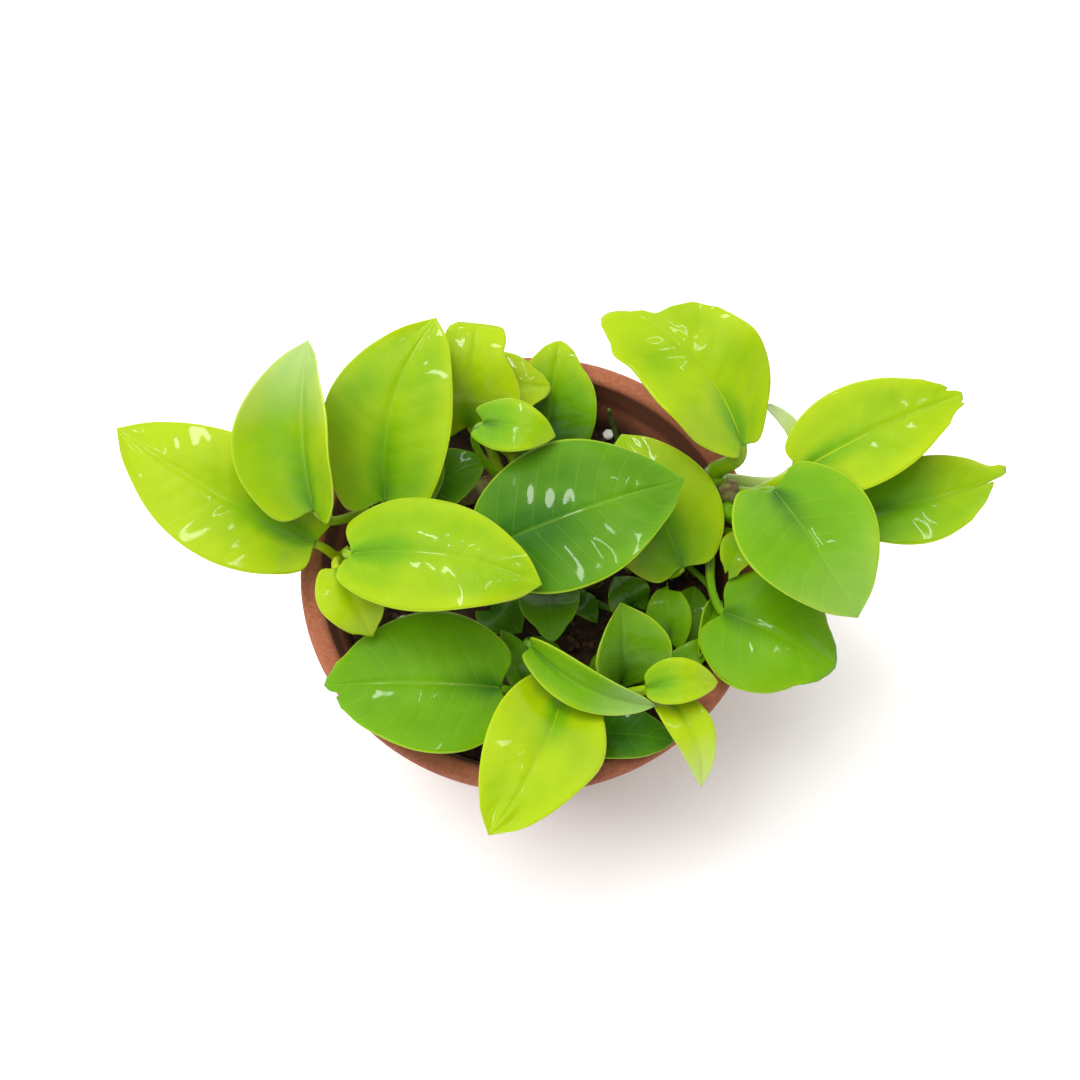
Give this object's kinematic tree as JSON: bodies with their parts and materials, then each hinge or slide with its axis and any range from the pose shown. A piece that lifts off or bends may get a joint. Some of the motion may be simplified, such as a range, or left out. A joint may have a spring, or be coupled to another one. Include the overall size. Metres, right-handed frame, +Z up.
{
  "type": "potted anubias",
  "caption": "Bushy potted plant with glossy yellow-green heart-shaped leaves in a tapered terracotta pot.",
  "frame": {"origin": "centre of the pot's underside, on the pot's axis", "axes": "+Z up along the pot's axis, +X to the plant's longer-reaching right side, +Y to the back"},
  "size_m": [0.264, 0.158, 0.1556],
  "materials": {
    "terracotta": "matte",
    "potting_soil": "matte",
    "perlite": "matte",
    "rhizome": "satin",
    "leaf": "gloss"
  },
  "bodies": {
    "root": {"bare_stalk": "rhizome", "leaf_back_dark": "leaf", "leaf_back_folded": "leaf", "leaf_back_lobe": "leaf", "leaf_back_right_torn": "leaf", "leaf_centre_broad": "leaf", "leaf_centre_right": "leaf", "leaf_curled_flap": "leaf", "leaf_far_left": "leaf", "leaf_far_right_split": "leaf", "leaf_front": "leaf", "leaf_front_curled": "leaf", "leaf_front_dark": "leaf", "leaf_front_left_broad": "leaf", "leaf_front_narrow": "leaf", "leaf_front_right_hanging": "leaf", "leaf_front_right_upper": "leaf", "leaf_front_slim": "leaf", "leaf_inner_back": "leaf", "leaf_inner_cupped": "leaf", "leaf_inner_left": "leaf", "leaf_inner_low": "leaf", "leaf_inner_right": "leaf", "leaf_inner_round": "leaf", "leaf_inner_shaded": "leaf", "leaf_inner_small": "leaf", "leaf_left_heart": "leaf", "leaf_left_ovate": "leaf", "leaf_left_shaded": "leaf", "leaf_left_small": "leaf", "leaf_left_upright": "leaf", "leaf_new_sheath": "leaf", "leaf_right_edge": "leaf", "leaf_right_heart": "leaf", "leaf_right_jagged": "leaf", "leaf_right_lower": "leaf", "leaf_right_torn": "leaf", "leaf_rim_shaded": "leaf", "perlite_1": "perlite", "perlite_2": "perlite", "perlite_3": "perlite", "perlite_4": "perlite", "perlite_5": "perlite", "pot": "terracotta", "rhizome_back": "rhizome", "rhizome_centre": "rhizome", "rhizome_front": "rhizome", "rhizome_left": "rhizome", "rhizome_right": "rhizome", "soil": "potting_soil"}
  },
  "joints": []
}
